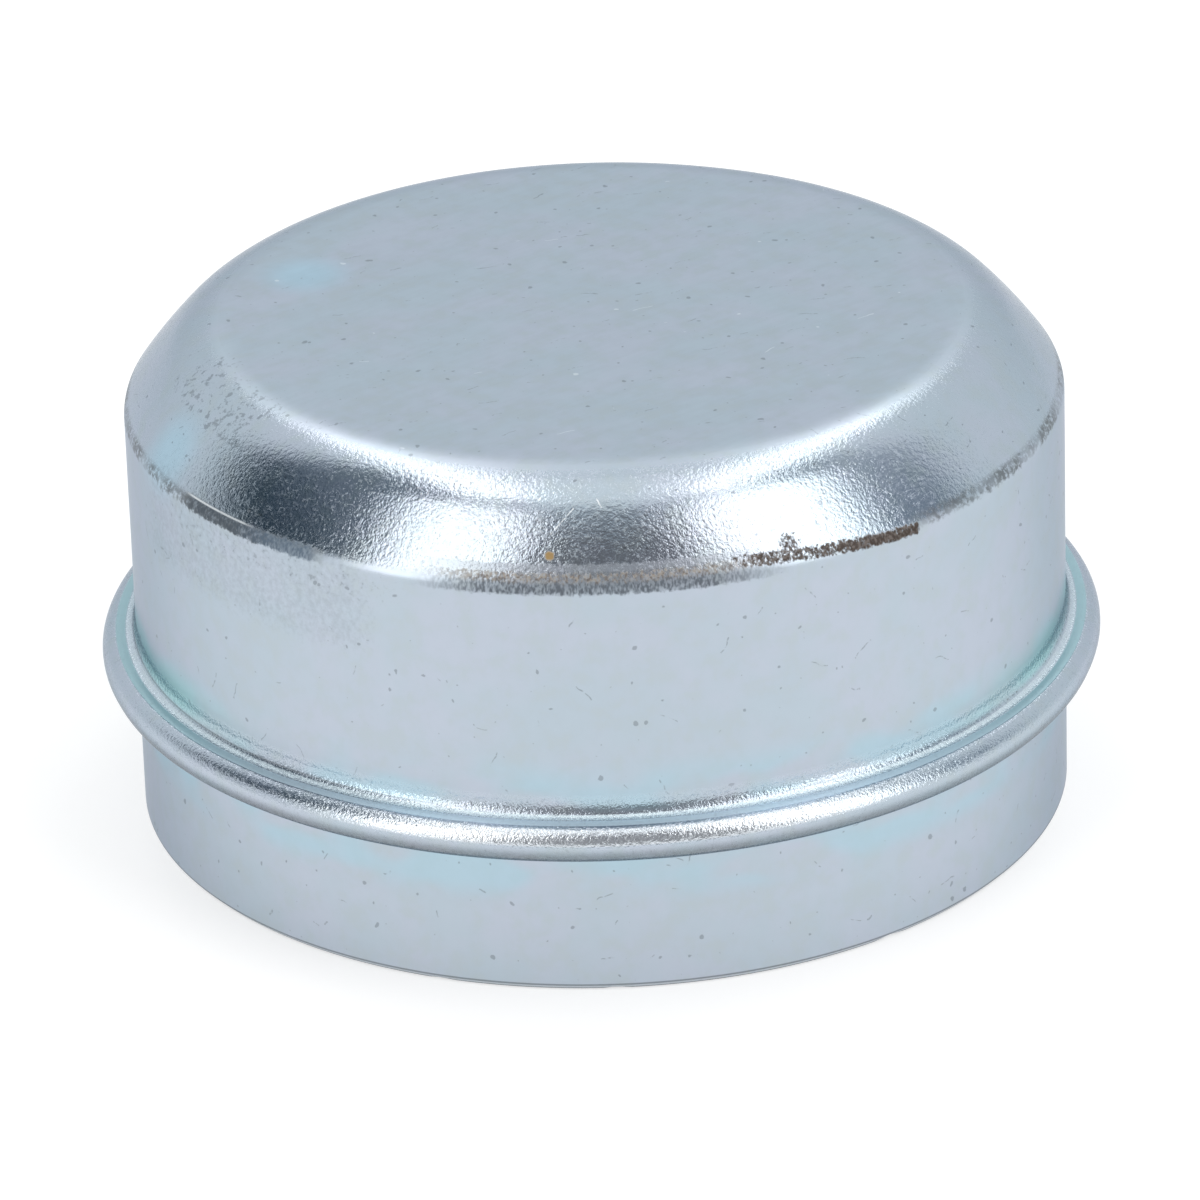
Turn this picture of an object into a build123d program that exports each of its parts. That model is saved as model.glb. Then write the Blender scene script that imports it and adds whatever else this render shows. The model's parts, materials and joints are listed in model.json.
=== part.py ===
from build123d import *
from math import cos, radians, sin
import os

# Hub grease cap: one cup drawn from a single disc of sheet steel, standing on its open rim.
# Millimetres, +Z up along the axis, origin at the centre of the rim.

# Driving dimensions
sheet = 1.0  # thickness of the drawn steel, the same all over
skirt_diameter = 62.0  # outside of the press-in skirt and of the wall above the bead
skirt_length = 10.0  # rim to the underside of the bead, which stops against the hub
bead_land = 1.0  # flat leg of the folded bead, from the skirt to the centre of its fold
bead_gap = 0.6  # slit that the fold leaves between its two layers
foot_radius = 0.4  # outside corner between the skirt and the bead
flare_radius = 2.0  # the foot of the wall first swings out in a wide curve
flare_angle = 30.0  # as far as this slope
root_radius = 0.6  # and then turns into the bead in a tight one
wall_length = 16.0  # top of the bead to the corner where the wall turns into the shoulder
shoulder_width = 4.6  # how far the sloped shoulder comes in
shoulder_rise = 5.6  # how far it climbs to the flat crown
shoulder_bend = 0.5  # inside radius between wall and shoulder
crown_bend = 5.0  # inside radius between shoulder and crown
rim_chamfer = 0.4  # lead-in on the outside of the cut rim

# Folded bead: a half round of the sheet under a narrow flat top
skirt_radius = skirt_diameter / 2
fold_radius = sheet + bead_gap / 2
fold_r = skirt_radius + bead_land
fold_z = skirt_length + fold_radius
bead_top = skirt_length + 2 * fold_radius

# The two curves between the flat top and the wall share a tangent at the flare angle
root_z = bead_top + root_radius
flare_z = root_z + (flare_radius - root_radius) * sin(radians(flare_angle))
flare_r = skirt_radius + flare_radius
root_r = flare_r - (flare_radius - root_radius) * cos(radians(flare_angle))

# Shoulder and crown
shoulder_z = bead_top + wall_length
crown_z = shoulder_z + shoulder_rise
crown_r = skirt_radius - shoulder_width

with BuildPart() as grease_cap:
    with BuildSketch(Plane.XZ) as section:
        # The outside of the sheet, from the rim to the middle of the crown, then thickened inwards
        with BuildLine():
            FilletPolyline(
                (skirt_radius, 0),
                (skirt_radius, skirt_length),
                (fold_r, skirt_length),
                radius=foot_radius,
            )
            CenterArc((fold_r, fold_z), fold_radius, -90, 180)
            Line((fold_r, bead_top), (root_r, bead_top))
            CenterArc((root_r, root_z), root_radius, 270, flare_angle - 90)
            CenterArc((flare_r, flare_z), flare_radius, 180 + flare_angle, -flare_angle)
            FilletPolyline(
                (skirt_radius, flare_z),
                (skirt_radius, shoulder_z),
                (crown_r, crown_z),
                (0, crown_z),
                radius=[shoulder_bend + sheet, crown_bend + sheet],
            )
            offset(amount=sheet, side=Side.LEFT)
        make_face()
        rim_corner = section.vertices().group_by(Axis.Y)[0].sort_by(Axis.X)[-1]
        chamfer(rim_corner, rim_chamfer)
    revolve(axis=Axis.Z)

grease_cap.part.label = "grease_cap"

os.makedirs("parts", exist_ok=True)
export_step(grease_cap.part, "parts/grease_cap.step")
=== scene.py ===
import json
from math import atan2, cos, degrees, pi, radians, sin, tan

import bpy
from mathutils import Matrix, Vector, noise

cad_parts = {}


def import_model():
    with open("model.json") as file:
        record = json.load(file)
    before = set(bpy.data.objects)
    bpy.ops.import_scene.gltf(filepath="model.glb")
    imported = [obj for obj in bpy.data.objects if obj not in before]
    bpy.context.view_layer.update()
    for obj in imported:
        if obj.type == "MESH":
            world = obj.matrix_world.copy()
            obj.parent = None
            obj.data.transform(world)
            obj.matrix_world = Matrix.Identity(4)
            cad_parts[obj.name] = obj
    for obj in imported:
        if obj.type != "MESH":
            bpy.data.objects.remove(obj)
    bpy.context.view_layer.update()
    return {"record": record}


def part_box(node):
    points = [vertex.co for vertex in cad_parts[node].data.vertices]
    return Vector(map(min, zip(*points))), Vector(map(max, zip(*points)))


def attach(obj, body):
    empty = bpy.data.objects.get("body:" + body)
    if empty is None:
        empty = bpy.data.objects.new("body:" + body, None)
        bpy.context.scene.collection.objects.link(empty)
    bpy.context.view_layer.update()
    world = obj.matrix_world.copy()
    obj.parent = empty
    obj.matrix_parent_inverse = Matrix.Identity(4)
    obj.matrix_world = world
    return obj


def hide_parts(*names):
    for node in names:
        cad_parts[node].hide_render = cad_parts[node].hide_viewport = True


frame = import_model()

# Hub grease cap: a cup drawn from one sheet of steel and zinc plated, standing on its rim. Metres, +Z up.

MM = 0.001

# Sizes that the frame and the record give
MOUNTS = {mount["name"]: mount for mount in frame["record"]["mounts"]}
CROWN_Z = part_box("grease_cap")[1][2]
SKIRT_R = MOUNTS["press_skirt"]["dims"]["r_mm"] * MM
SEAT_Z = MOUNTS["bead_seat"]["pos_m"][2]

# Sizes of the section, from the CAD source. FLARE_BEND and SLOPE_BEND follow the photo more closely
SHEET = 1.0 * MM
BEAD_LAND = 1.0 * MM
BEAD_GAP = 0.6 * MM
FOOT_BEND = 0.4 * MM
FLARE_BEND = 1.4 * MM
FLARE_ANGLE = 30
ROOT_BEND = 0.6 * MM
SHOULDER_WIDTH = 4.6 * MM
SHOULDER_RISE = 5.6 * MM
CORNER_BEND = 1.5 * MM
SLOPE_BEND = 30.0 * MM
CROWN_BEND = 6.0 * MM
RIM_CHAMFER = 0.4 * MM

# Slow waves of the real sheet, which only go inwards: a mean, and waves with their weights and lengths
WAVE_DEPTH = 0.05 * MM
WAVE_MEAN = 0.5
WAVES = ((0.4, 11 * MM), (0.2, 4 * MM))

# Nicks in the rim: azimuth and reach in degrees, and depth
NICKS = ((0.5, 1.6, 0.10 * MM), (36.0, 2.0, 0.12 * MM), (-21.0, 1.4, 0.08 * MM))

# Steps of the mesh along each run of the section, and round the axis
SKIRT_STEPS = 22
FOOT_STEPS = 6
SEAT_STEPS = 3
FOLD_STEPS = 26
TOP_STEPS = 2
ROOT_STEPS = 8
FLARE_STEPS = 8
WALL_STEPS = 34
CORNER_STEPS = 10
SLOPE_STEPS = 12
BEND_STEPS = 14
CROWN_STEPS = 30
SEGMENTS = 320
ON_AXIS = 1e-7
SHARP_ANGLE = 35


def line(start, end, steps):
    """Stations along a straight run of the section, each a point with its outward normal."""
    run = Vector(end) - Vector(start)
    normal = Vector((run.y, -run.x)).normalized()
    return [(Vector(start) + run * (i / steps), normal) for i in range(steps + 1)]


def arc(centre, radius, start, end, steps, hollow=False):
    """Stations along a bend from one angle to another, in degrees. A hollow bend faces its centre."""
    stations = []
    for i in range(steps + 1):
        angle = radians(start + (end - start) * i / steps)
        spoke = Vector((cos(angle), sin(angle)))
        stations.append((Vector(centre) + spoke * radius, -spoke if hollow else spoke))
    return stations


def bead_runs():
    """The foot of the skirt, the folded bead and the flared foot of the wall, as runs of stations."""
    fold_bend = SHEET + BEAD_GAP / 2
    fold = Vector((SKIRT_R + BEAD_LAND, SEAT_Z + fold_bend))
    bead_top = SEAT_Z + 2 * fold_bend
    foot = Vector((SKIRT_R + FOOT_BEND, SEAT_Z - FOOT_BEND))
    swing = FLARE_BEND - ROOT_BEND
    root_z = bead_top + ROOT_BEND
    flare = Vector((SKIRT_R + FLARE_BEND, root_z + swing * sin(radians(FLARE_ANGLE))))
    root = Vector((flare.x - swing * cos(radians(FLARE_ANGLE)), root_z))
    return [
        arc(foot, FOOT_BEND, 180, 90, FOOT_STEPS, hollow=True),
        line((foot.x, SEAT_Z), (fold.x, SEAT_Z), SEAT_STEPS),
        arc(fold, fold_bend, -90, 90, FOLD_STEPS),
        line((fold.x, bead_top), (root.x, bead_top), TOP_STEPS),
        arc(root, ROOT_BEND, 270, 180 + FLARE_ANGLE, ROOT_STEPS, hollow=True),
        arc(flare, FLARE_BEND, 180 + FLARE_ANGLE, 180, FLARE_STEPS, hollow=True),
    ]


def meeting(first, first_away, second, second_away):
    """The lower of the two points that lie at given distances from two others."""
    gap = second - first
    along = (first_away**2 - second_away**2 + gap.length_squared) / (2 * gap.length)
    aside = (first_away**2 - along**2) ** 0.5
    unit = gap.normalized()
    return first + unit * along + Vector((-unit.y, unit.x)) * aside


def crown_runs():
    """The corner of the shoulder, its slightly full slope, the bend of the crown and the crown, as runs."""
    slope = degrees(atan2(SHOULDER_WIDTH, SHOULDER_RISE))
    corner_reach = CORNER_BEND * tan(radians(slope / 2))
    corner = Vector((SKIRT_R - CORNER_BEND, CROWN_Z - SHOULDER_RISE - corner_reach))
    crown_reach = CROWN_BEND * tan(radians((90 - slope) / 2))
    crown = Vector((SKIRT_R - SHOULDER_WIDTH - crown_reach, CROWN_Z - CROWN_BEND))
    full = meeting(corner, SLOPE_BEND - CORNER_BEND, crown, SLOPE_BEND - CROWN_BEND)
    low = degrees(atan2(corner.y - full.y, corner.x - full.x))
    high = degrees(atan2(crown.y - full.y, crown.x - full.x))
    return [
        arc(corner, CORNER_BEND, 0, low, CORNER_STEPS),
        arc(full, SLOPE_BEND, low, high, SLOPE_STEPS),
        arc(crown, CROWN_BEND, high, 90, BEND_STEPS),
        line((crown.x, CROWN_Z), (0, CROWN_Z), CROWN_STEPS),
    ]


def outside():
    """The outside of the sheet as stations, from the skirt up to the middle of the crown."""
    bead = bead_runs()
    crown = crown_runs()
    skirt = line((SKIRT_R, RIM_CHAMFER), bead[0][0][0], SKIRT_STEPS)
    wall = line(bead[-1][-1][0], crown[0][0][0], WALL_STEPS)
    stations = skirt
    for run in [*bead, wall, *crown]:
        stations = stations + run[1:]
    return stations


def section():
    """The whole closed section: rim, outside, then the inside back down to the rim in wider steps."""
    outer = outside()
    inner = [(point - normal * SHEET, -normal) for point, normal in outer]
    inner[0] = (Vector((SKIRT_R - SHEET, 0)), inner[0][1])
    inner = inner[0:1] + inner[1:-1:2] + inner[-1:]
    rim = [(Vector((SKIRT_R - RIM_CHAMFER, 0)), Vector((0, -1)))]
    return rim + outer + inner[::-1]


def sag(point):
    """How far the drawn sheet lies inside its true form at a point."""
    waves = [weight * noise.noise(point / length) for weight, length in WAVES]
    return WAVE_DEPTH * max(0.0, sum(waves, WAVE_MEAN))


def nick(point):
    """How far the rim is worn up at a point."""
    azimuth = degrees(atan2(point.x, -point.y))
    return sum(depth * max(0.0, 1 - abs(azimuth - at) / reach) for at, reach, depth in NICKS)


def worn(point, normal, turn):
    """A station turned about Z to its place on the real cap. Its lower skirt and undersides stay true."""
    place = Vector((point.x * sin(turn), point.x * cos(turn), point.y))
    outward = Vector((normal.x * sin(turn), normal.x * cos(turn), normal.y))
    if point.y < RIM_CHAMFER / 2:
        place.z += nick(place)
        return place
    if point.y < SEAT_Z / 2 or normal.y < -0.5:
        return place
    return place - outward * sag(place)


def lathe(name, stations):
    """Turn a closed section about Z into one mesh object."""
    verts = []
    rings = []
    for point, normal in stations:
        turns = SEGMENTS if point.x > ON_AXIS else 1
        rings.append(range(len(verts), len(verts) + turns))
        verts += [worn(point, normal, 2 * pi * k / SEGMENTS) for k in range(turns)]

    faces = []
    for ring, after in zip(rings, rings[1:] + rings[:1]):
        if len(ring) == 1 and len(after) == 1:
            continue
        for k in range(SEGMENTS):
            m = (k + 1) % SEGMENTS
            if len(after) == 1:
                faces.append((ring[m], ring[k], after[0]))
            elif len(ring) == 1:
                faces.append((ring[0], after[k], after[m]))
            else:
                faces.append((ring[m], ring[k], after[k], after[m]))

    mesh = bpy.data.meshes.new(name)
    mesh.from_pydata(verts, [], faces)
    mesh.validate()
    mesh.polygons.foreach_set("use_smooth", [True] * len(mesh.polygons))
    mesh.set_sharp_from_angle(angle=radians(SHARP_ANGLE))
    shell = bpy.data.objects.new(name, mesh)
    bpy.context.scene.collection.objects.link(shell)
    return shell


class Nodes:
    """Adds nodes to one tree. A value may be a number, a colour or another node's socket."""

    COLOUR_A, COLOUR_B, COLOUR_OUT = 6, 7, 2
    VECTOR_A, VECTOR_B, VECTOR_OUT = 4, 5, 1

    # Share of a spot's reach, or of a stroke's width, that is full before it fades out
    SPOT_CORE = 0.2
    STROKE_CORE = 0.3

    def __init__(self, tree):
        self.tree = tree

    def put(self, socket, value):
        if isinstance(value, bpy.types.NodeSocket):
            self.tree.links.new(value, socket)
        elif hasattr(socket.default_value, "__len__") and len(socket.default_value) == 4:
            socket.default_value = (*value, 1)
        else:
            socket.default_value = value

    def add(self, kind, inputs=(), **settings):
        node = self.tree.nodes.new("ShaderNode" + kind)
        for name, value in settings.items():
            setattr(node, name, value)
        for name, value in dict(inputs).items():
            self.put(node.inputs[name], value)
        return node

    def math(self, operation, a, b=0.0):
        return self.add("Math", {0: a, 1: b}, operation=operation).outputs[0]

    def product(self, first, *others):
        for other in others:
            first = self.math("MULTIPLY", first, other)
        return first

    def total(self, first, *others):
        for other in others:
            first = self.math("ADD", first, other)
        return first

    def either(self, first, *others):
        for other in others:
            first = self.math("MAXIMUM", first, other)
        return first

    def scaled(self, value, by, plus):
        """A value times one number, plus another."""
        return self.total(self.product(value, by), plus)

    def without(self, value):
        """1 where a mask is 0, and 0 where it is 1."""
        return self.math("SUBTRACT", 1.0, value)

    def ramp(self, value, zero_at, one_at):
        """0 up to one value and 1 from the other, with a smooth step between. Works in either order."""
        ends = {"Value": value, "From Min": zero_at, "From Max": one_at}
        return self.add("MapRange", ends, interpolation_type="SMOOTHSTEP").outputs[0]

    def band(self, value, low, high, soft):
        """1 between two values, fading out over a soft edge on each side."""
        return self.product(self.ramp(value, low - soft, low), self.ramp(value, high + soft, high))

    def stretch(self, vector, by):
        return self.add("VectorMath", {0: vector, 1: by}, operation="MULTIPLY").outputs[0]

    def length(self, vector):
        return self.add("VectorMath", {0: vector}, operation="LENGTH").outputs["Value"]

    def turned(self, vector, angle):
        """A vector turned about Z."""
        turn = {"Vector": vector, "Angle": angle}
        return self.add("VectorRotate", turn, rotation_type="Z_AXIS").outputs[0]

    def noise(self, vector, size, detail=2.0, roughness=0.5):
        """Cloudy pattern from 0 to 1 whose blobs are about one size across."""
        inputs = {"Vector": vector, "Scale": 1 / size, "Detail": detail, "Roughness": roughness}
        return self.add("TexNoise", inputs).outputs[0]

    def bent(self, flat, point, scale, detail, by):
        """A flat map pushed about by a cloudy pattern, so that strokes on it aren't quite straight."""
        clouds = {"Vector": point, "Scale": scale, "Detail": detail}
        wander = self.add("TexNoise", clouds).outputs["Color"]
        push = {0: wander, 1: (by, by, 0), 2: flat}
        return self.add("VectorMath", push, operation="MULTIPLY_ADD").outputs[0]

    def mix(self, factor, a, b):
        node = self.add("Mix", {0: factor}, data_type="RGBA")
        self.put(node.inputs[self.COLOUR_A], a)
        self.put(node.inputs[self.COLOUR_B], b)
        return node.outputs[self.COLOUR_OUT]

    def choose(self, factor, a, b):
        node = self.add("Mix", {0: factor}, data_type="VECTOR")
        self.put(node.inputs[self.VECTOR_A], a)
        self.put(node.inputs[self.VECTOR_B], b)
        return node.outputs[self.VECTOR_OUT]

    def near(self, point, centre, reach):
        """1 at a place on the cap, fading out over a reach in millimetres."""
        away = self.add("VectorMath", {0: point, 1: centre}, operation="DISTANCE").outputs["Value"]
        return self.ramp(away, reach, reach * self.SPOT_CORE)

    def scatter(self, flat, cell):
        """Cells of a flat map: the way from each one's centre, and three dice of its own."""
        cells = self.add("TexVoronoi", {"Vector": flat, "Scale": 1 / cell}, voronoi_dimensions="2D")
        offset = self.add("VectorMath", {0: flat, 1: cells.outputs["Position"]}, operation="SUBTRACT")
        dice = self.add("SeparateColor", {0: cells.outputs["Color"]})
        return offset.outputs[0], dice.outputs[0], dice.outputs[1], dice.outputs[2]

    def stroke(self, offset, heading, reach, width):
        """A straight stroke through the centre of a cell."""
        sides = self.add("SeparateXYZ", {0: self.turned(offset, heading)})
        along = self.math("ABSOLUTE", sides.outputs["X"])
        across = self.math("ABSOLUTE", sides.outputs["Y"])
        thin = self.ramp(across, width, width * self.STROKE_CORE)
        return self.product(self.math("LESS_THAN", along, reach), thin)


# Colours of the plating, of what is on it, and of painted light and shade, as linear values
ZINC = (0.465, 0.540, 0.605)
LILAC = (0.490, 0.540, 0.620)
STRAW = (0.475, 0.540, 0.580)
AZURE = (0.46, 0.61, 0.71)
CYAN = (0.42, 0.585, 0.670)
MINT_REFLECTION = (0.40, 0.625, 0.645)
TEAL_SIDE_SHADE = (0.34, 0.51, 0.56)
LAND = (0.57, 0.70, 0.79)
CREST_HIGHLIGHT = (0.70, 0.745, 0.79)
ROOT_HIGHLIGHT = (0.74, 0.86, 0.91)
BRIGHT = (0.86, 0.90, 0.92)
SCUFF = (0.16, 0.18, 0.20)
GRIME_AND_SHADE = (0.085, 0.09, 0.09)
SLATE_REFLECTION = (0.115, 0.135, 0.16)
BROWN = (0.16, 0.135, 0.12)
TAN = (0.34, 0.30, 0.255)
HAZE = (0.36, 0.37, 0.41)
CORNER_REFLECTION = (0.10, 0.145, 0.20)
CORNER_SHADE = (0.065, 0.085, 0.108)
RUST = (0.060, 0.042, 0.032)
OCHRE = (0.36, 0.24, 0.10)
SHEEN = (0.60, 0.63, 0.67)

# Places on the cap from here on are in millimetres, and in degrees from the front, positive to the right.
# A pair says where a mask is 0 and where it is 1. Three numbers are a band's two ends and its soft edge.

# Regions of the cap
CROWN_FROM = 34.1
OUTER_FROM = 30.6
UNROLL_R = 30.0
SHOULDER_FOOT = (28.5, 29.2)
SHOULDER_HEAD = (34.15, 33.7)
BEAD_FOOT = (9.7, 10.0)
BEAD_HEAD = (14.2, 13.5)
LAND_R = (31.74, 32.3, 0.1)
LAND_Z = (12.45, 12.75, 0.1)
# Where the painted highlight on the root bend lies, and the azimuths over which it grows towards the front
ROOT_HIGHLIGHT_R = (31.3, 31.6, 0.08)
ROOT_HIGHLIGHT_Z = (12.58, 12.9, 0.08)
ROOT_HIGHLIGHT_FRONT = (75.0, 30.0)

# Patterns: the grain of the sheet, which is tighter on the bead, specks, and fine upright streaks
GRAIN_SIZE = 0.26
TIGHT_BELOW = 20.0
TIGHTER = 0.3
FINE_SIZE = 0.35
HATCH_SIZE = 0.16
HATCH_STRETCH = (1, 1, 0.4)


class Place:
    """Where a point of the cap is, as sockets in millimetres and degrees, and masks of its regions."""

    def __init__(self, n):
        coord = n.add("TexCoord").outputs["Object"]
        self.point = n.stretch(coord, (1 / MM, 1 / MM, 1 / MM))
        axes = n.add("SeparateXYZ", {0: self.point})
        self.z = axes.outputs["Z"]
        flat = n.stretch(self.point, (1, 1, 0))
        self.r = n.length(flat)
        turn = n.math("ARCTAN2", axes.outputs["X"], n.math("MULTIPLY", axes.outputs["Y"], -1.0))
        self.azimuth = n.math("MULTIPLY", turn, degrees(1))
        self.aside = n.math("ABSOLUTE", self.azimuth)

        # Flat maps: the sides unrolled round the axis, the crown from above
        along = n.math("SUBTRACT", self.z, self.r)
        unrolled = n.add("CombineXYZ", {0: n.math("MULTIPLY", turn, UNROLL_R), 1: along}).outputs[0]
        self.crown = n.math("GREATER_THAN", self.z, CROWN_FROM)
        self.flat = n.choose(self.crown, unrolled, flat)

        self.patterns(n)
        self.regions(n)

    def patterns(self, n):
        """The patterns that several masks share."""
        tight = n.scaled(n.math("LESS_THAN", self.z, TIGHT_BELOW), TIGHTER, 1.0)
        drawn = n.add("VectorMath", {0: self.point, "Scale": tight}, operation="SCALE").outputs[0]
        self.grain = n.noise(drawn, GRAIN_SIZE, 2.0, 0.65)
        self.fine = n.noise(self.point, FINE_SIZE, 3.0, 0.65)
        self.hatch = n.noise(n.stretch(self.point, HATCH_STRETCH), HATCH_SIZE, 1.0)

    def regions(self, n):
        """Where the sheet was worked hardest and its grain shows, the top of the bead, and the painted
        highlight along its root, strongest at the front.
        """
        outer = n.math("GREATER_THAN", self.r, OUTER_FROM)
        self.shoulder = n.product(n.ramp(self.z, *SHOULDER_FOOT), n.ramp(self.z, *SHOULDER_HEAD))
        self.bead = n.product(n.ramp(self.z, *BEAD_FOOT), n.ramp(self.z, *BEAD_HEAD), outer)
        self.land = n.product(n.band(self.r, *LAND_R), n.band(self.z, *LAND_Z))
        self.plain = n.without(n.either(self.shoulder, self.bead))
        # Mask of the painted highlight along the root bend, strongest at the front
        root = n.product(n.band(self.r, *ROOT_HIGHLIGHT_R), n.band(self.z, *ROOT_HIGHLIGHT_Z))
        fading = n.scaled(n.ramp(self.aside, *ROOT_HIGHLIGHT_FRONT), 0.55, 0.45)
        self.root = n.product(root, fading, n.scaled(n.ramp(self.grain, 0.35, 0.6), 0.4, 0.6))


# Tints of the plating, with painted reflection, light and shade round the bead: the sizes of its clouds, and
# the heights, radii and sides that they keep to
CLOUD_SIZE = 7.0
MOTTLE_SIZE = 1.6
PATCH_SIZE = 6.0
PATCH_STRETCH = (1, 1, 2)
WALL_FOOT = (12.7, 13.2)
CYAN_UP_TO = (17.0, 14.2)
CYAN_UNDER = (7.8, 9.7, 2.0)
MINT_UP_TO = (16.0, 13.8)
MINT_SIDES = (40.0, 64.0)
MINT_BACK = (130.0, 95.0)
TEAL_SIDES = (28.0, 70.0)
CREST_Z = (11.6, 12.35, 0.15)
CREST_R = (32.2, 32.4)
CREST_FRONT = (42.0, 14.0)
STAINS = ((-18.9, 6.9, 34.2), (-27.3, -11.8, 30.0))
STAIN_REACH = 4.0

# Small steps of tone: brushing across the crown, and scuffs on the left of the wall
BRUSH_ANGLE = -40
BRUSH_SIZE = 0.4
BRUSH_STRETCH = (0.12, 1, 1)
SCUFF_LEFT = (-66.0, -32.0, 12.0)
SCUFF_Z = (24.0, 28.4, 4.0)


def bead_tints(n, at, colour):
    """The plate round the bead: cyan patches, a painted mint reflection at the sides, the bead's flat top,
    pale at the front and teal at the sides in painted light and shade, and painted highlights on its root and
    crest.
    """
    patches = n.ramp(n.noise(n.stretch(at.point, PATCH_STRETCH), PATCH_SIZE, 1.0), 0.36, 0.62)
    wall = n.ramp(at.z, *WALL_FOOT)
    foot = n.product(n.ramp(at.z, *CYAN_UP_TO), wall)
    under = n.band(at.z, *CYAN_UNDER)
    colour = n.mix(n.product(n.either(foot, under), patches, 0.75), colour, CYAN)

    # Painted reflection: a mint tint on the foot of the wall at the sides, fading towards the back
    lower = n.product(n.ramp(at.z, *MINT_UP_TO), wall)
    fading = n.scaled(n.ramp(at.aside, *MINT_BACK), 0.5, 0.5)
    beside = n.product(n.ramp(at.aside, *MINT_SIDES), fading)
    colour = n.mix(n.product(lower, beside, n.scaled(patches, 0.45, 0.55)), colour, MINT_REFLECTION)

    # The bead's flat top: pale at the front and darker teal at the sides, painted light and shade
    colour = n.mix(at.land, colour, n.mix(n.ramp(at.aside, *TEAL_SIDES), LAND, TEAL_SIDE_SHADE))
    # Painted highlight along the root bend
    colour = n.mix(at.root, colour, ROOT_HIGHLIGHT)
    # Painted highlight along the top of the bead's round, at the front only
    crest = n.product(n.band(at.z, *CREST_Z), n.ramp(at.r, *CREST_R), n.ramp(at.aside, *CREST_FRONT))
    return n.mix(crest, colour, CREST_HIGHLIGHT)


def tone(n, at, mottle):
    """How far the plate is darkened by the mottle, the brushing and the scuffs."""
    turned = n.turned(at.point, radians(BRUSH_ANGLE))
    brushed = n.product(n.noise(n.stretch(turned, BRUSH_STRETCH), BRUSH_SIZE, 2.0), at.crown)
    scuffed = n.product(n.band(at.azimuth, *SCUFF_LEFT), n.band(at.z, *SCUFF_Z), at.fine)
    return n.total(
        n.product(n.ramp(mottle, 0.3, 0.7), n.scaled(at.crown, 0.03, 0.035)),
        n.product(n.ramp(brushed, 0.35, 0.7), 0.04),
        n.product(n.ramp(scuffed, 0.3, 0.7), 0.2),
    )


def plating(n, at):
    """Colour of the clean plate: grey-blue, clouded with lilac and straw, and cyan by the bead."""
    clouds = n.noise(at.point, CLOUD_SIZE, 3.0, 0.6)
    mottle = n.noise(at.point, MOTTLE_SIZE, 3.0, 0.6)
    colour = n.mix(n.ramp(clouds, 0.35, 0.65), ZINC, LILAC)
    colour = n.mix(n.product(n.ramp(mottle, 0.45, 0.7), 0.7), colour, STRAW)
    colour = bead_tints(n, at, colour)
    stain = n.either(*[n.near(at.point, place, STAIN_REACH) for place in STAINS])
    colour = n.mix(stain, colour, AZURE)
    return n.mix(tone(n, at, mottle), colour, SCUFF)


# Scratches on the front of the shoulder, on the unrolled map: centre, heading and half length
SCRATCHES = (((-2.38, 3.65, 0), 58, 1.42), ((0.1, 5.3, 0), -71, 0.48), ((-4.32, 5.9, 0), -46, 0.42))
SCRATCH_WIDTH = 0.07

# Strokes and specks: sizes, and the rolls of the dice below or above which they are dark or bright
STROKE_CELL = 2.4
STROKE_REACH = 0.75
STROKE_WIDTH = 0.06
STROKE_DARK = 0.32
STROKE_BRIGHT = 0.97
CROWN_LEAN = 0.75
SPECK_CELL = 1.3
SPECK_SIZE = 0.16
SPECK_RAGGED = 0.25
SPECK_EDGE = (0.05, -0.01)
SPECK_DARK = 0.3
SPECK_BRIGHT = 0.98
BRIGHT_FROM = (33.0, 34.0)

# Pits crowd on the left of the shoulder, and flecks under its corner and on the bead
PIT_SIZE = 0.6
PITS_LEFT = (-76.0, -56.0, 10.0)
PITS_Z = (32.2, 34.0, 0.7)
FLECKS_LEFT = (-62.0, -30.0, 8.0)
FLECKS_Z = (26.8, 28.0, 0.8)


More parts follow.
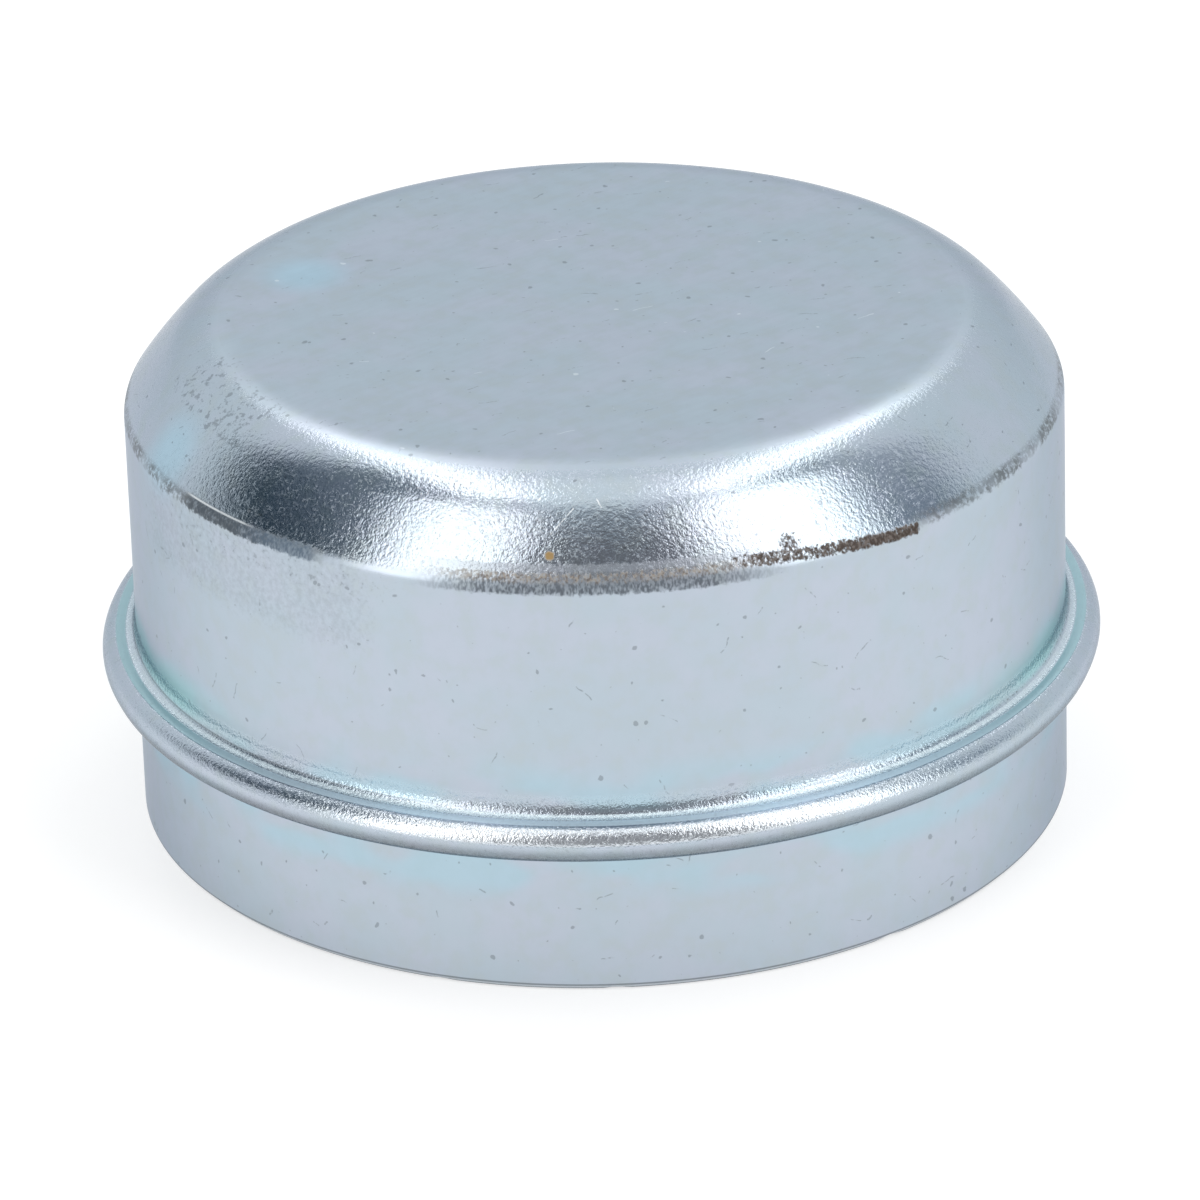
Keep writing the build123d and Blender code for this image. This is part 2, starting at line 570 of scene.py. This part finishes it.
class Marks:
    """Masks of the small marks: dark and bright specks and strokes, pits, and scratches."""

    def __init__(self, n, at):
        flat = n.bent(at.flat, at.point, scale=0.7, detail=2.0, by=0.9)
        dark_strokes, bright_strokes = self.strokes(n, at, flat)
        dark_specks, bright_specks = self.specks(n, at, flat)
        pits, flecks = self.pitting(n, at)
        dark = n.either(dark_strokes, dark_specks)
        bright = n.either(bright_strokes, bright_specks)
        self.dark = n.either(n.product(dark, n.without(at.bead)), pits, flecks)
        self.bright = n.product(bright, at.plain, n.ramp(at.z, *BRIGHT_FROM))
        self.scratch = n.either(*[self.scored(n, at, *scratch) for scratch in SCRATCHES])

    def strokes(self, n, at, flat):
        """Strokes of any heading on the sides, and leaning up to the right on the crown."""
        offset, turn, kind, size = n.scatter(flat, STROKE_CELL)
        heading = n.product(turn, n.math("SUBTRACT", pi, n.product(at.crown, pi * CROWN_LEAN)))
        reach = n.product(size, STROKE_REACH)
        strokes = n.stroke(offset, n.product(heading, -1.0), reach, STROKE_WIDTH)
        broken = n.ramp(at.fine, 0.40, 0.58)
        dark = n.product(strokes, n.math("LESS_THAN", kind, STROKE_DARK), broken)
        return dark, n.product(strokes, n.math("GREATER_THAN", kind, STROKE_BRIGHT))

    def specks(self, n, at, flat):
        """Ragged dots, most of them small."""
        offset, _, kind, size = n.scatter(flat, SPECK_CELL)
        uneven = n.total(n.length(offset), n.product(n.math("SUBTRACT", at.fine, 0.5), SPECK_RAGGED))
        radius = n.product(size, size, size, SPECK_SIZE)
        dots = n.ramp(n.math("SUBTRACT", uneven, radius), *SPECK_EDGE)
        dark = n.product(dots, n.math("LESS_THAN", kind, SPECK_DARK))
        return dark, n.product(dots, n.math("GREATER_THAN", kind, SPECK_BRIGHT))

    def pitting(self, n, at):
        """Pits and flecks, in their own places."""
        left = n.product(n.band(at.azimuth, *PITS_LEFT), n.band(at.z, *PITS_Z))
        below = n.product(n.band(at.azimuth, *FLECKS_LEFT), n.band(at.z, *FLECKS_Z), 0.7)
        pits = n.ramp(n.product(n.noise(at.point, PIT_SIZE, 3.0, 0.7), left), 0.54, 0.62)
        flecks = n.product(n.ramp(at.fine, 0.60, 0.68), n.either(below, n.product(at.bead, 0.3)))
        return pits, flecks

    def scored(self, n, at, centre, heading, reach):
        """One straight scratch in the metal, uneven along its length."""
        offset = n.add("VectorMath", {0: at.flat, 1: centre}, operation="SUBTRACT").outputs[0]
        line = n.stroke(offset, -radians(heading), reach, SCRATCH_WIDTH)
        return n.product(line, n.ramp(at.fine, 0.3, 0.6), at.shoulder)


# Corner between wall and shoulder: a thin line at the sides, partly grime and partly painted shade, which
# lies a little lower on the left
CORNER_LINE_LEFT = (-36.0, -46.0)
CORNER_LINE_RIGHT = (38.0, 46.0)
CORNER_LINE_HEAVY = (-58.0, -44.0, 5.0)
CORNER_LINE_PATCH = 3.0
CORNER_LINE_Z = (28.6, 29.05, 0.3)
CORNER_LINE_LOWER = 0.2
CORNER_LINE_RAGGED = 0.9

# The same corner: a brown film at the front, whose slate lower part is a painted reflection, with a haze
# above it, and a dark band of painted shade and reflection on the left
FILM_RAGGED = 0.6
FILM_FRONT = (-12.0, 12.0, 12.0)
FILM_Z = (28.2, 29.2, 0.25)
FILM_BROWN_FROM = (28.65, 29.0)
HAZE_Z = (29.4, 29.7, 0.15)
HAZE_FROM = (29.3, 29.45)
CORNER_SHADE_LEFT = (-57.0, -37.0, 3.0)
CORNER_SHADE_Z = (28.35, 28.92, 0.25)
CORNER_REFLECTION_FROM = (-50.0, -42.0)

# Painted highlights: a glint along the left of that corner, and the cut of the rim, which is bare metal
# brightened with a painted highlight
GLINT_LEFT = (-57.0, -48.0, 3.0)
GLINT_Z = (28.99, 29.04, 0.05)
CUT_Z = (0.13, 0.3, 0.05)

# Painted shade on the bead and the rim: the crease with the wall, the underside, and two lines along the cut,
# the lower one a painted contact shadow
CREASE_Z = (12.88, 12.92, 0.05)
CREASE_SIDES = (15.0, 30.0)
CREASE_WHOLE = (40.0, 20.0)
UNDERSIDE_Z = (11.5, 10.6)
RIM_LINE_Z = (0.38, 0.46, 0.06)
RIM_FOOT_Z = (0.12, 0.02)

# Rusty smear that runs down to the right, with a tuft above it, and an ochre spot left of the middle
SMEAR_START = (13.0, 20.0)
SMEAR_SOLID = (27.0, 36.0)
SMEAR_END = (41.4, 40.6)
SMEAR_Z = (28.62, 28.97, 0.36)
SMEAR_MIDDLE = 30.0
SMEAR_DROP = 0.036
TUFT = (12.0, -27.65, 29.6)
TUFT_REACH = 1.1
SPOT = (-3.1, -29.55, 30.18)
SPOT_REACH = 0.5


class DirtAndPaintedLight:
    """Masks of the soiling and painted shade in the corners, the crease and along the rim, of painted glints,
    and of the rusty smear on the right of the shoulder's corner.
    """

    def __init__(self, n, at):
        self.uneven = n.math("SUBTRACT", at.fine, 0.5)
        self.edge = n.total(at.z, n.product(self.uneven, FILM_RAGGED))
        self.left = n.band(at.azimuth, *CORNER_SHADE_LEFT)
        self.film_and_reflection = self.corner_film_and_reflection(n, at)
        self.film_and_reflection_colour = self.corner_colour(n, at)
        self.glint_and_bare_metal = self.glint_and_cut(n, at)
        self.grime_and_shade = n.either(self.corner_line(n, at), *self.bead_and_rim_shade(n, at))
        self.rust = self.smear(n, at)
        self.spot = n.ramp(n.total(n.near(at.point, SPOT, SPOT_REACH), self.uneven), 0.2, 0.8)

    def corner_line(self, n, at):
        """Thin, speckled line along the corner, grimy in part and painted shade in part."""
        lower = n.product(n.math("LESS_THAN", at.azimuth, 0.0), CORNER_LINE_LOWER)
        ragged = n.total(at.z, n.product(self.uneven, CORNER_LINE_RAGGED), lower)
        speckled = n.ramp(at.fine, 0.34, 0.56)
        thickness = n.ramp(n.noise(at.point, CORNER_LINE_PATCH, 2.0), 0.36, 0.6)
        sides = n.either(n.ramp(at.azimuth, *CORNER_LINE_LEFT), n.ramp(at.azimuth, *CORNER_LINE_RIGHT))
        # The heavy band on the left is painted shade, the dark reflection of the corner
        heavy = n.either(n.band(at.azimuth, *CORNER_LINE_HEAVY), thickness)
        return n.product(n.band(ragged, *CORNER_LINE_Z), sides, speckled, n.scaled(heavy, 0.45, 0.3))

    def corner_film_and_reflection(self, n, at):
        """Along the front of the corner a coat and a haze, the coat's lower part a painted reflection, and on
        its left a band of painted shade and reflection.
        """
        streaks = n.ramp(at.hatch, 0.32, 0.66)
        coat = n.product(n.band(self.edge, *FILM_Z), n.scaled(streaks, 0.65, 0.3))
        haze = n.product(n.band(self.edge, *HAZE_Z), 0.35)
        front = n.product(n.either(coat, haze), n.band(at.azimuth, *FILM_FRONT))
        # Band of painted shade and reflection on the left of the corner
        corner_shade_band = n.product(n.band(self.edge, *CORNER_SHADE_Z), self.left, n.scaled(streaks, 0.35, 0.55))
        return n.either(front, corner_shade_band)

    def corner_colour(self, n, at):
        """Colour of the front coat, whose slate lower part is a painted reflection, of the haze, and of the
        painted shade and reflection on the left.
        """
        brown = n.mix(n.ramp(at.grain, 0.42, 0.6), BROWN, TAN)
        # Slate lower part: painted reflection of the dark front in the corner's bend
        colour = n.mix(n.ramp(self.edge, *FILM_BROWN_FROM), SLATE_REFLECTION, brown)
        colour = n.mix(n.ramp(self.edge, *HAZE_FROM), colour, HAZE)
        # On the left: painted shade, darkest furthest left, turning to a blue-grey painted reflection
        return n.mix(self.left, colour, n.mix(n.ramp(at.azimuth, *CORNER_REFLECTION_FROM), CORNER_SHADE, CORNER_REFLECTION))

    def glint_and_cut(self, n, at):
        """A painted glint along the corner, and the bright cut of the rim, bare metal with a painted
        highlight.
        """
        # Painted highlight: a glint along the left of the corner
        glint_and_bare_metal = n.product(n.band(at.z, *GLINT_Z), n.band(at.azimuth, *GLINT_LEFT), 0.8)
        # The rim's cut: bare metal, brightened with a painted highlight
        return n.either(glint_and_bare_metal, n.product(n.band(at.z, *CUT_Z), 0.6))

    def bead_and_rim_shade(self, n, at):
        """Painted shade in the bead's crease with the wall and on its underside, a dark line along the cut
        rim, and a painted contact shadow at its foot.
        """
        dotted = n.either(n.ramp(at.azimuth, *CREASE_WHOLE), n.ramp(at.fine, 0.52, 0.6))
        sides = n.ramp(at.aside, *CREASE_SIDES)
        # Painted shade in the crease between the bead and the wall
        crease = n.product(n.band(at.z, *CREASE_Z), at.bead, sides, dotted, 0.4)
        # Painted shade under the bead
        underside = n.product(n.ramp(at.z, *UNDERSIDE_Z), at.bead, n.scaled(at.fine, 0.3, 0.34))
        # Painted shade: a dark line along the top of the rim's cut
        rim_line = n.product(n.band(at.z, *RIM_LINE_Z), 0.55)
        # Painted contact shadow at the foot of the rim
        rim_foot = n.product(n.ramp(at.z, *RIM_FOOT_Z), 0.7)
        return crease, underside, rim_line, rim_foot

    def smear(self, n, at):
        """Rusty smear, broken where it starts and blunt where it ends, with its tuft."""
        level = n.total(at.z, n.product(n.math("SUBTRACT", at.azimuth, SMEAR_MIDDLE), SMEAR_DROP))
        ends = n.product(n.ramp(at.azimuth, *SMEAR_START), n.ramp(at.azimuth, *SMEAR_END))
        solid = n.scaled(n.ramp(at.azimuth, *SMEAR_SOLID), 0.3, 0.75)
        streak = n.product(ends, solid, n.band(level, *SMEAR_Z))
        crust = n.either(streak, n.product(n.near(at.point, TUFT, TUFT_REACH), 0.72))
        rough = n.total(n.product(self.uneven, 2.0), n.product(n.math("SUBTRACT", at.hatch, 0.5), 1.5))
        return n.ramp(n.total(crust, n.product(rough, n.ramp(crust, 0.0, 0.3))), 0.2, 0.9)


# Depth of the grain in millimetres, and how much of it the flat top of the bead loses
BEAD_GRAIN = 0.044
SHOULDER_GRAIN = 0.025
PLAIN_GRAIN = 0.0015
LAND_SMOOTH = 0.85

# Frost: short strokes in cells, in patches
FROST_CELL = 0.5
FROST_REACH = 0.36
FROST_WIDTH = 0.035
FROST_SHARE = 0.5
FROST_PATCH = 1.4

# Surface: roughness of the plain plate, and what polish, frost and dirt take from it or add to it
PLAIN_ROUGHNESS = 0.33
POLISH = 0.17
FROST_ROUGHNESS = 0.2
DULL_ROUGHNESS = 0.3
DARK_MARKS = 0.5
BRIGHT_MARKS = 0.4


def relief(n, at):
    """Height in millimetres: the grain of the drawn sheet."""
    bead = n.product(at.bead, n.without(n.product(at.land, LAND_SMOOTH)), BEAD_GRAIN)
    depth = n.total(n.either(n.product(at.shoulder, SHOULDER_GRAIN), bead), PLAIN_GRAIN)
    return n.product(at.grain, depth)


def frost(n, at):
    """Mask of the rough flecks and short bent strokes between the polished grain of the shoulder and bead."""
    flat = n.bent(at.flat, at.point, scale=2.5, detail=1.0, by=0.5)
    offset, turn, kind, size = n.scatter(flat, FROST_CELL)
    strokes = n.stroke(offset, n.product(turn, pi), n.product(size, FROST_REACH), FROST_WIDTH)
    patchy = n.ramp(n.noise(at.point, FROST_PATCH, 2.0), 0.3, 0.65)
    chosen = n.math("LESS_THAN", kind, FROST_SHARE)
    strokes = n.product(strokes, chosen, n.scaled(patchy, 0.7, 0.3))
    flecks = n.product(n.ramp(at.grain, 0.48, 0.75), n.scaled(patchy, 0.5, 0.5))
    return n.product(n.either(flecks, strokes), n.without(at.plain), n.without(at.land))


def zinc():
    """Bright zinc plate that is satin where the sheet is plain and sparkles where it was drawn."""
    material = bpy.data.materials.new("zinc_plate")
    material.use_nodes = True
    tree = material.node_tree
    shader = tree.nodes["Principled BSDF"]
    n = Nodes(tree)
    at = Place(n)
    marks = Marks(n, at)
    dirt_and_light = DirtAndPaintedLight(n, at)

    colour = plating(n, at)
    colour = n.mix(n.product(marks.dark, DARK_MARKS), colour, SCUFF)
    colour = n.mix(n.product(marks.bright, BRIGHT_MARKS), colour, BRIGHT)
    # Grime and painted shade in the corner, the crease, under the bead and along the rim
    colour = n.mix(dirt_and_light.grime_and_shade, colour, GRIME_AND_SHADE)
    # Brown film at the front, with painted reflection and shade in the corner
    colour = n.mix(dirt_and_light.film_and_reflection, colour, dirt_and_light.film_and_reflection_colour)
    colour = n.mix(dirt_and_light.rust, colour, n.mix(n.ramp(at.grain, 0.4, 0.65), RUST, BROWN))
    colour = n.mix(dirt_and_light.spot, colour, OCHRE)
    # Painted glints and the bright cut of the rim, together with real scratches
    glint_and_bare_metal = n.either(dirt_and_light.glint_and_bare_metal, marks.scratch)
    colour = n.mix(glint_and_bare_metal, colour, BRIGHT)
    n.put(shader.inputs["Base Color"], colour)

    # Grime, rust, painted shade, the pale parts of the bead with their painted highlights, and bare metal and
    # painted glints reflect less like a mirror
    dirt_and_shade = n.either(n.product(dirt_and_light.grime_and_shade, 0.4), n.product(dirt_and_light.film_and_reflection, 0.8), dirt_and_light.rust)
    matt = n.either(n.product(at.land, 0.6), n.product(at.root, 0.45), n.product(glint_and_bare_metal, 0.6))
    dull = n.either(dirt_and_shade, dirt_and_light.spot, matt)
    n.put(shader.inputs["Metallic"], n.without(dull))
    n.put(shader.inputs["Specular Tint"], SHEEN)
    polish = n.product(n.either(at.shoulder, at.bead), POLISH)
    rough = n.total(n.product(frost(n, at), FROST_ROUGHNESS), n.product(dull, DULL_ROUGHNESS))
    n.put(shader.inputs["Roughness"], n.total(n.math("SUBTRACT", PLAIN_ROUGHNESS, polish), rough))

    bump = n.add("Bump", {"Strength": 1.0, "Distance": MM, "Height": relief(n, at)})
    n.put(shader.inputs["Normal"], bump.outputs[0])
    return material


# Studio: a pale table, two soft panels in front, two long strips above, and a room that is pale at the back
TABLE = (0.52, 0.52, 0.52)
TABLE_GLOW = 0.56
TABLE_LIT = (0.58, 0.59, 0.595)
TABLE_HALF = 2.0
TABLE_Z = -0.02 * MM
SHADOW_REACH = (55 * MM, 85 * MM)
LEFT_DARK = (0.012, 0.036, 0.058)
LEFT_HIGH = (0.18, 0.22, 0.26)
RIGHT_DARK = (0.22, 0.275, 0.33)
RIGHT_HIGH = (0.45, 0.50, 0.55)
LOW_PALE = (0.80, 0.83, 0.85)
SLOT_LOW = (0.46, 0.47, 0.49)
SLOT_DARK = (0.18, 0.177, 0.19)
SLOT_FOOT = (0.32, 0.32, 0.33)
SLOT_HIGH = (0.54, 0.60, 0.66)
BACK_PALE = (0.90, 0.94, 0.96)
CEILING = (1.07, 1.09, 1.10)
WHITE = (1, 1, 1)
LAMP_WHITE = (1.0, 0.97, 0.94)

# Bounds of the room's parts: azimuths in degrees, the others as parts of a unit vector
SLOT_AZIMUTH = (-32.0, 38.0, 8.0)
SLOT_LOW_FROM = (0.40, 0.52)
SLOT_DARK_FROM = (0.60, 0.70)
SLOT_HIGH_FROM = (0.80, 0.965)
RIGHTWARD = (-0.2, 0.8)
LEFTWARD = (-0.3, -0.8)
HIGH_FROM = (0.45, 0.75)
LOW_UP_TO = (0.32, 0.16)
FILL_AZIMUTH = (-72.0, -60.0, 5.0)
FILL_UP_TO = (0.58, 0.44)
BACK_FROM = (0.16, 0.34)
BACK_SKEW = 0.1
CEILING_FROM = (0.89, 0.96)


def seen_directly(n):
    """1 for rays from the camera and for those that metal or glass sends on, else 0."""
    path = n.add("LightPath").outputs
    return n.either(path["Is Camera Ray"], path["Is Glossy Ray"], path["Is Transmission Ray"])


def table_paint():
    """Paint that shows white to the camera and in the metal, and still takes the cap's shadow.

    Past the reach of the shadow it has the even brightness that the lamps give it there.
    """
    material = bpy.data.materials.new("table")
    material.use_nodes = True
    material.cycles.emission_sampling = "NONE"
    material.node_tree.nodes.clear()
    n = Nodes(material.node_tree)
    paint = n.add("BsdfDiffuse", {"Color": TABLE})
    lit = n.add("Emission", {"Color": TABLE_LIT})
    distance = n.length(n.add("TexCoord").outputs["Object"])
    table = n.add("MixShader", {0: n.ramp(distance, *SHADOW_REACH), 1: paint.outputs[0], 2: lit.outputs[0]})
    glow = n.add("Emission", {"Strength": n.product(seen_directly(n), TABLE_GLOW)})
    both = n.add("AddShader", {0: table.outputs[0], 1: glow.outputs[0]})
    n.add("OutputMaterial", {"Surface": both.outputs[0]})
    return material


def floor():
    """A wide, pale table just under the rim."""
    half = TABLE_HALF
    corners = [(-half, -half, 0), (half, -half, 0), (half, half, 0), (-half, half, 0)]
    mesh = bpy.data.meshes.new("floor")
    mesh.from_pydata(corners, [], [(0, 1, 2, 3)])
    plane = bpy.data.objects.new("floor", mesh)
    plane.location.z = TABLE_Z
    bpy.context.scene.collection.objects.link(plane)
    mesh.materials.append(table_paint())


def toward(azimuth, elevation):
    """Unit vector to a place in the studio: azimuth 0 is at the camera, positive to its right."""
    a = radians(azimuth)
    e = radians(elevation)
    return Vector((sin(a) * cos(e), -cos(a) * cos(e), sin(e)))


def panel(name, width, length, radiance):
    """A plain rectangular soft light, in metres, that shines along its own -Z."""
    lamp = bpy.data.lights.new(name, "AREA")
    lamp.shape = "RECTANGLE"
    lamp.size = width
    lamp.size_y = length
    lamp.energy = radiance * pi * width * length
    lamp.color = LAMP_WHITE
    box = bpy.data.objects.new(name, lamp)
    box.visible_camera = False
    bpy.context.scene.collection.objects.link(box)
    return box


def softbox(name, azimuth, elevation, width, height, radiance, distance=1.6):
    """A soft light that faces the cap. Width and height are in degrees as the cap sees them."""
    across = 2 * distance * tan(radians(width / 2))
    upright = 2 * distance * tan(radians(height / 2))
    box = panel(name, across, upright, radiance)
    heading = toward(azimuth, elevation)
    box.location = heading * distance
    box.rotation_euler = heading.to_track_quat("Z", "Y").to_euler()


def strip(name, x, radiance, height=1.5, width=0.28, front=-0.3, back=1.85):
    """A long soft light above one side of the cap, along the line of sight."""
    box = panel(name, width, back - front, radiance)
    box.location = (x, (front + back) / 2, height)
    box.rotation_euler = (0, atan2(x, height), 0)


def room_colour(n):
    """Colour of the room in each direction: dark sides, a grey slot in front, pale below and behind."""
    axes = n.add("SeparateXYZ", {0: n.add("TexCoord").outputs["Generated"]}).outputs
    up = axes["Z"]
    ahead = n.math("MULTIPLY", axes["Y"], -1.0)
    azimuth = n.math("MULTIPLY", n.math("ARCTAN2", axes["X"], ahead), degrees(1))

    rightward = n.ramp(axes["X"], *RIGHTWARD)
    dark = n.mix(rightward, LEFT_DARK, RIGHT_DARK)
    high = n.mix(rightward, LEFT_HIGH, RIGHT_HIGH)
    sides = n.mix(n.ramp(up, *HIGH_FROM), dark, high)

    slot = n.mix(n.ramp(up, *SLOT_LOW_FROM), SLOT_FOOT, SLOT_LOW)
    slot = n.mix(n.ramp(up, *SLOT_DARK_FROM), slot, SLOT_DARK)
    slot = n.mix(n.ramp(up, *SLOT_HIGH_FROM), slot, SLOT_HIGH)
    front = n.band(azimuth, *SLOT_AZIMUTH)
    colour = n.mix(front, sides, slot)

    leftward = n.ramp(axes["X"], *LEFTWARD)
    low = n.total(up, n.product(front, 0.2), n.product(leftward, -0.1))
    colour = n.mix(n.ramp(low, *LOW_UP_TO), colour, LOW_PALE)
    fill = n.product(n.band(azimuth, *FILL_AZIMUTH), n.ramp(up, *FILL_UP_TO))
    colour = n.mix(fill, colour, LOW_PALE)
    behind = n.ramp(n.total(axes["Y"], n.product(axes["X"], BACK_SKEW)), *BACK_FROM)
    colour = n.mix(behind, colour, BACK_PALE)
    return n.mix(n.ramp(up, *CEILING_FROM), colour, CEILING)


def world():
    """The room, which the metal reflects. The camera itself sees white."""
    sky = bpy.data.worlds.new("studio")
    bpy.context.scene.world = sky
    sky.use_nodes = True
    sky.cycles.sampling_method = "NONE"
    sky.node_tree.nodes.clear()
    n = Nodes(sky.node_tree)
    room = n.add("Background", {"Color": room_colour(n)})
    white = n.add("Background", {"Color": WHITE})
    seen = n.add("LightPath").outputs["Is Camera Ray"]
    both = n.add("MixShader", {0: seen, 1: room.outputs[0], 2: white.outputs[0]})
    n.add("OutputWorld", {"Surface": both.outputs[0]})


# Camera of the photo: a long lens, looking down at the cap, turned a little about its own axis
LENS = 248.18
SENSOR = 36.0
NEAREST = 0.01
CAMERA_DISTANCE = 550 * MM
CAMERA_HEIGHT = 25.17
CAMERA_PITCH = 0.386
CAMERA_YAW = -0.004
CAMERA_ROLL = -1.819
LOOK_Z = 17 * MM


def camera():
    """The camera at the photo's viewing angle."""
    data = bpy.data.cameras.new("camera")
    data.sensor_width = SENSOR
    data.lens = LENS
    data.clip_start = NEAREST
    eye = bpy.data.objects.new("camera", data)
    bpy.context.scene.collection.objects.link(eye)
    ahead = -toward(-CAMERA_YAW, CAMERA_HEIGHT + CAMERA_PITCH)
    right = ahead.cross(Vector((0, 0, 1))).normalized()
    up = right.cross(ahead)
    roll = Matrix.Rotation(radians(CAMERA_ROLL), 3, -ahead)
    pose = Matrix((roll @ right, roll @ up, -ahead)).transposed().to_4x4()
    pose.translation = Vector((0, 0, LOOK_Z)) + toward(0, CAMERA_HEIGHT) * CAMERA_DISTANCE
    eye.matrix_world = pose
    bpy.context.scene.camera = eye


bpy.context.scene.view_settings.view_transform = "Standard"

shell = lathe("cap_shell", section())
shell.data.materials.append(zinc())
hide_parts("grease_cap")
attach(shell, "root")

floor()
softbox("front_left", azimuth=-44.5, elevation=34.5, width=26.5, height=55, radiance=2.2)
softbox("front_right", azimuth=55.1, elevation=35.0, width=30.3, height=56, radiance=2.3)
strip("strip_left", x=-0.42, radiance=1.9)
strip("strip_right", x=0.5, radiance=1.9)
world()
camera()
